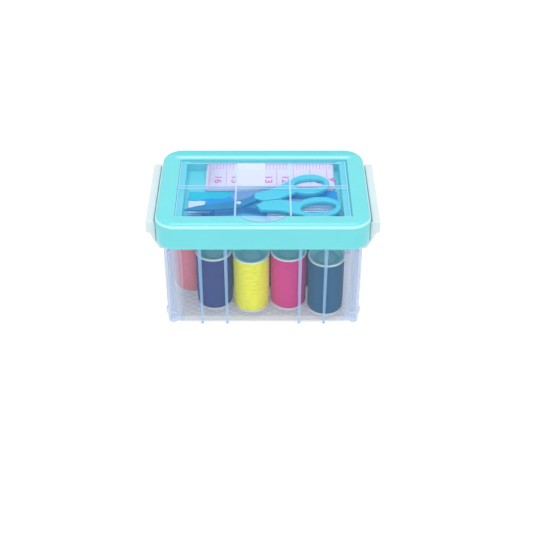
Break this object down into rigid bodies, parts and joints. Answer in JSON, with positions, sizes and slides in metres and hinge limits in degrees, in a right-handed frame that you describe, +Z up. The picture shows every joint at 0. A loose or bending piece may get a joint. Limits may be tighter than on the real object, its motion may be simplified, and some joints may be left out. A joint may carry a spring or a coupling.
{
  "type": "thread spool storage box",
  "caption": "Clear sewing box with thread spools inside, a lift-off lid holding a covered tray of notions, and a swing latch at each end.",
  "frame": {"origin": "middle of the box's footprint, on the surface that its feet stand on", "axes": "+X along the box towards its right end as seen from the front, -Y towards the front with the finger notch, +Z up"},
  "size_m": [0.133, 0.0814, 0.0745],
  "materials": {
    "clear_plastic": "clear moulded",
    "turquoise_plastic": "satin moulded",
    "white_plastic": "gloss moulded",
    "tape_white": "satin coated",
    "band_paper": "matte",
    "card_blue": "printed card",
    "clear_film": "clear formed film",
    "needle_steel": "polished",
    "blade_steel": "brushed",
    "handle_plastic": "gloss moulded",
    "thread_navy": "wound thread",
    "thread_yellow": "wound thread",
    "thread_pink": "wound thread",
    "thread_teal": "wound thread",
    "thread_salmon": "wound thread",
    "thread_grey": "wound thread",
    "thread_purple": "wound thread",
    "thread_violet": "wound thread"
  },
  "bodies": {
    "box": {"box_body": "clear_plastic", "bobbin_navy": "white_plastic", "thread_navy": "thread_navy", "bobbin_yellow": "white_plastic", "thread_yellow": "thread_yellow", "bobbin_pink": "white_plastic", "thread_pink": "thread_pink", "bobbin_teal": "white_plastic", "thread_teal": "thread_teal", "bobbin_salmon": "white_plastic", "thread_salmon": "thread_salmon", "bobbin_grey": "white_plastic", "thread_grey": "thread_grey", "bobbin_purple": "white_plastic", "thread_purple": "thread_purple", "bobbin_violet": "white_plastic", "thread_violet": "thread_violet"},
    "lid": {"lid": "turquoise_plastic", "tape_measure": "tape_white", "tape_band": "band_paper", "needle_card": "card_blue", "needle_pocket": "clear_film", "needles": "needle_steel", "scissors_blade_lower": "blade_steel", "scissors_handle_near": "handle_plastic", "scissors_rivet": "blade_steel"},
    "cover": {"window_cover": "clear_plastic"},
    "latch_left": {"latch_left": "white_plastic"},
    "latch_right": {"latch_right": "white_plastic"},
    "scissors_half": {"scissors_blade_upper": "blade_steel", "scissors_handle_far": "handle_plastic"}
  },
  "joints": [
    {"name": "lid_lift", "type": "slide", "parent": "box", "child": "lid", "axis": [0, 0, 1], "range_m": [0, 0.045]},
    {"name": "cover_flip", "type": "hinge", "parent": "lid", "child": "cover", "pos_m": [0, 0.0261, 0.0735], "axis": [-1, 0, 0], "range_deg": [0, 110]},
    {"name": "latch_left_swing", "type": "hinge", "parent": "box", "child": "latch_left", "pos_m": [-0.0584, 0, 0.0527], "axis": [0, -1, 0], "range_deg": [0, 100]},
    {"name": "latch_right_swing", "type": "hinge", "parent": "box", "child": "latch_right", "pos_m": [0.0584, 0, 0.0527], "axis": [0, 1, 0], "range_deg": [0, 100]},
    {"name": "scissors_open", "type": "hinge", "parent": "lid", "child": "scissors_half", "pos_m": [-0.01401, -0.0163, 0.07175], "axis": [0, 0, 1], "range_deg": [0, 12]}
  ]
}
